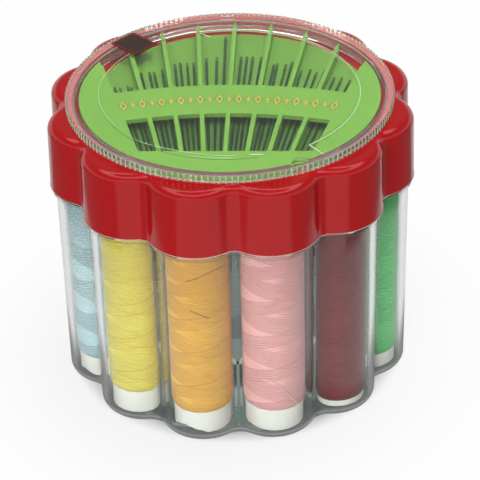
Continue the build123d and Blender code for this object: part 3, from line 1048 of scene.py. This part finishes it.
def make_outlet_edge(skin):
    """Pale green painted on the rim of the hole that needles leave by and over the inner half
    of its wall, as a thin skin."""
    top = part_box("dial_cover")[1].z
    centre = round_at(OUTLET_RING_R, OUTLET_ANGLE, top - OUTLET_LINE_R)
    verts, faces, route = [], [], []
    for stop in range(OUTLET_POINTS + 1):
        angle = OUTLET_ANGLE + pi + OUTLET_SWEEP * (stop / OUTLET_POINTS - 0.5)
        route.append(centre + round_at(OUTLET_R - OUTLET_LINE_R, angle, 0))
    tube(verts, faces, route, OUTLET_LINE_R, LINE_SIDES)
    first = len(verts)
    for drop in (0, OUTLET_WALL_DROP):
        for inset in OUTLET_SKIN_INSETS:
            for place in route:
                away = Vector((place.x - centre.x, place.y - centre.y, 0)).normalized()
                verts.append(centre + away * (OUTLET_R - inset) - Vector((0, 0, drop)))
    row = len(route)
    for stop in range(row - 1):
        for here, there in ((0, 1), (1, 3), (3, 2), (2, 0)):
            a, b = first + here * row + stop, first + there * row + stop
            faces.append((a, b, b + 1, a + 1))
    for stop in (0, row - 1):
        faces.append(tuple(first + corner * row + stop for corner in (0, 1, 3, 2)))
    mesh = mesh_from("outlet_edge", verts, faces)
    piece("pale_outlet_paint", mesh, skin, "dial", "clear_dial")


# ---- lit edge under the lid ------------------------------------------------------------
def lid_lower_edge():
    """The lower edge of the lid's lobed wall, as points in order round it."""
    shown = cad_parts["lid"].data
    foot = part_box("lid")[0].z
    found = {}
    for face in shown.polygons:
        outwards = Vector((face.center.x, face.center.y, 0)).normalized()
        if abs(face.normal.z) > WALL_FACING or face.normal.dot(outwards) < WALL_FACING:
            continue
        for index in face.vertices:
            place = shown.vertices[index].co
            if place.z < foot + LIT_REACH:
                bearing = round(atan2(place.x, -place.y), 4)
                if bearing not in found or place.z < found[bearing].z:
                    found[bearing] = place.copy()
    return [found[bearing] for bearing in sorted(found)]


def make_lit_edge(pale):
    """The thin pale line that light draws along the lid's lower edge."""
    verts, faces = [], []
    tube(verts, faces, lid_lower_edge(), LIT_LINE_R, LINE_SIDES, closed=True)
    piece("lit_foot_edge", mesh_from("foot_edge", verts, faces), pale, "lid", "red_plastic")


# ---- stage: floor, world, lamps and camera ---------------------------------------------
def mirrored_floor(tree, x, y, reach):
    """How bright the floor shows in shiny plastic: bright near the box, where the
    jar shows it, and further off, where the lid does, bright only in front and
    behind. It is dimmer by the foot."""
    bearing = math(tree, "ARCTAN2", x, math(tree, "MULTIPLY", y, -1.0))
    bearing = math(tree, "ABSOLUTE", bearing)
    ends = (MIRROR_FRONT, MIRROR_FRONT_END)
    level = ramp(tree, bearing, *ends, MIRROR_BRIGHT, MIRROR_DULL)
    behind = math(tree, "GREATER_THAN", bearing, MIRROR_BACK)
    behind = math(tree, "MULTIPLY", behind, MIRROR_BRIGHT)
    nearby = ramp(tree, reach, MIRROR_JAR_R, MIRROR_LID_R, MIRROR_BRIGHT, 0.0)
    level = math(tree, "MAXIMUM", math(tree, "MAXIMUM", level, behind), nearby)
    foot = ramp(tree, reach, MIRROR_FOOT_R, MIRROR_FOOT_END_R, MIRROR_FOOT, 1.0)
    return math(tree, "MULTIPLY", level, foot)


def make_floor():
    """A pale floor that shows white of its own and keeps the box's shadow."""
    made, tree, output = material("pale_floor")
    paper = grain(tree, FLOOR_GRAIN, 3.0)
    greys = [(level, level, level, 1.0) for level in FLOOR_GREYS]
    soft = add(tree, "BsdfDiffuse", {"Color": blend(tree, paper, *greys)}).outputs[0]
    where, x, y = spot(tree)[:3]
    reach = length(tree, where)
    seen, is_glossy = in_sight(tree)
    strength = between(tree, is_glossy, 1.0, mirrored_floor(tree, x, y, reach))
    white = add(tree, "Emission", {"Color": (1, 1, 1, 1), "Strength": strength}).outputs[0]
    near = ramp(tree, reach, UNDER_R, BESIDE_R, 0.0, BESIDE_SHARE)
    far = ramp(tree, reach, BESIDE_R, CLEAR_R, 0.0, CLEAR_SHARE - BESIDE_SHARE)
    share = math(tree, "MULTIPLY", seen, math(tree, "ADD", near, far))
    share = math(tree, "MAXIMUM", share, math(tree, "MULTIPLY", seen, is_glossy))
    both = add(tree, "MixShader", {0: share, 1: soft, 2: white}).outputs[0]
    tree.links.new(both, output.inputs[0])
    half = FLOOR_HALF
    corners = [(-half, -half, 0), (half, -half, 0), (half, half, 0), (-half, half, 0)]
    mesh = mesh_from("floor", corners, [(0, 1, 2, 3)])
    mesh.materials.append(made)
    ground = bpy.data.objects.new("floor", mesh)
    bpy.context.scene.collection.objects.link(ground)


def make_world():
    """White where it is seen, and a softer sky as a light and in shiny plastic."""
    world = bpy.data.worlds.new("studio")
    bpy.context.scene.world = world
    world.use_nodes = True
    tree = world.node_tree
    tree.nodes.clear()
    output = tree.nodes.new("ShaderNodeOutputWorld")
    direction = add(tree, "TexCoord").outputs["Generated"]
    parts = add(tree, "SeparateXYZ", {0: direction}).outputs
    sideways, height = math(tree, "ABSOLUTE", parts[0]), parts[2]
    overhead = ramp(tree, height, OVERHEAD_START, OVERHEAD_END, 1.0, OVERHEAD_LEVEL)
    above = math(tree, "GREATER_THAN", height, SOFTBOX_LOW)
    below = math(tree, "LESS_THAN", height, SOFTBOX_HIGH)
    softbox = math(tree, "MULTIPLY", math(tree, "MULTIPLY", above, below), SOFTBOX_LEVEL)
    mirrored = math(tree, "ADD", overhead, softbox)
    sky = ramp(tree, sideways, SKY_SIDE_START, SKY_SIDE_END, SKY_LEVEL, SKY_SIDE_LEVEL)
    seen, is_glossy = in_sight(tree)
    plain = between(tree, seen, sky, 1.0)
    strength = between(tree, is_glossy, plain, mirrored)
    light = add(tree, "Background", {"Color": (1, 1, 1, 1), "Strength": strength})
    tree.links.new(light.outputs[0], output.inputs[0])


def make_lamp(name, at, size, power):
    """A square soft lamp that faces the box and doesn't show in shiny plastic."""
    data = bpy.data.lights.new(name, "AREA")
    data.size = size
    data.energy = power
    made = bpy.data.objects.new(name, data)
    made.location = at
    made.rotation_euler = (LAMP_AIM - Vector(at)).to_track_quat("-Z", "Y").to_euler()
    made.visible_glossy = False
    bpy.context.scene.collection.objects.link(made)


def make_camera():
    """The camera, from where it stands and how it is turned, pitched and rolled."""
    across, down = cos(CAMERA_PITCH), -sin(CAMERA_PITCH)
    ahead = Vector((sin(CAMERA_YAW) * across, cos(CAMERA_YAW) * across, down))
    right = ahead.cross(Vector((0, 0, 1))).normalized()
    up = right.cross(ahead)
    rolled_right = right * cos(CAMERA_ROLL) + up * sin(CAMERA_ROLL)
    rolled_up = up * cos(CAMERA_ROLL) - right * sin(CAMERA_ROLL)
    data = bpy.data.cameras.new("camera")
    data.lens = CAMERA_LENS
    data.sensor_width = CAMERA_SENSOR
    data.clip_start = CAMERA_NEAR
    made = bpy.data.objects.new("camera", data)
    turn = Matrix((rolled_right, rolled_up, -ahead)).transposed()
    made.matrix_world = Matrix.Translation(CAMERA_AT) @ turn.to_4x4()
    bpy.context.scene.collection.objects.link(made)
    bpy.context.scene.camera = made


# ---- the box ---------------------------------------------------------------------------
def dress_solids():
    """The finishes of the solids that show as they are."""
    dress("jar", clear_plastic("clear_jar", *JAR_SHADES, FOOT_TOP))
    dial = clear_plastic("clear_dial", *DIAL_SHADES, worn_beyond=DIAL_WORN_R)
    dress("dial_cover", dial)
    dress("lid", plastic("red_plastic"))
    dress("needle_tray", tray_plastic("green_plastic"))
    dress("seal_sticker", sticker_material())
    white = plastic("white_core")
    for colour in THREADS:
        dress(f"core_{colour}", white)


dress_solids()
make_threads()
make_strands()
make_needles(metal("needle_steel"))
make_ornament(metal("gold_foil"), plastic("stamp_shade"))
make_knurl_crests(plastic("knurl_crest_highlight"))
make_rib_lines(plastic("rib_highlight_and_scuff"))
make_outlet_edge(plastic("pale_hole_paint"))
make_lit_edge(plastic("lit_edge"))

make_floor()
make_world()
for name, (at, size, power) in LAMPS.items():
    make_lamp(name, at, size, power)
make_camera()
bpy.context.scene.view_settings.view_transform = "Standard"
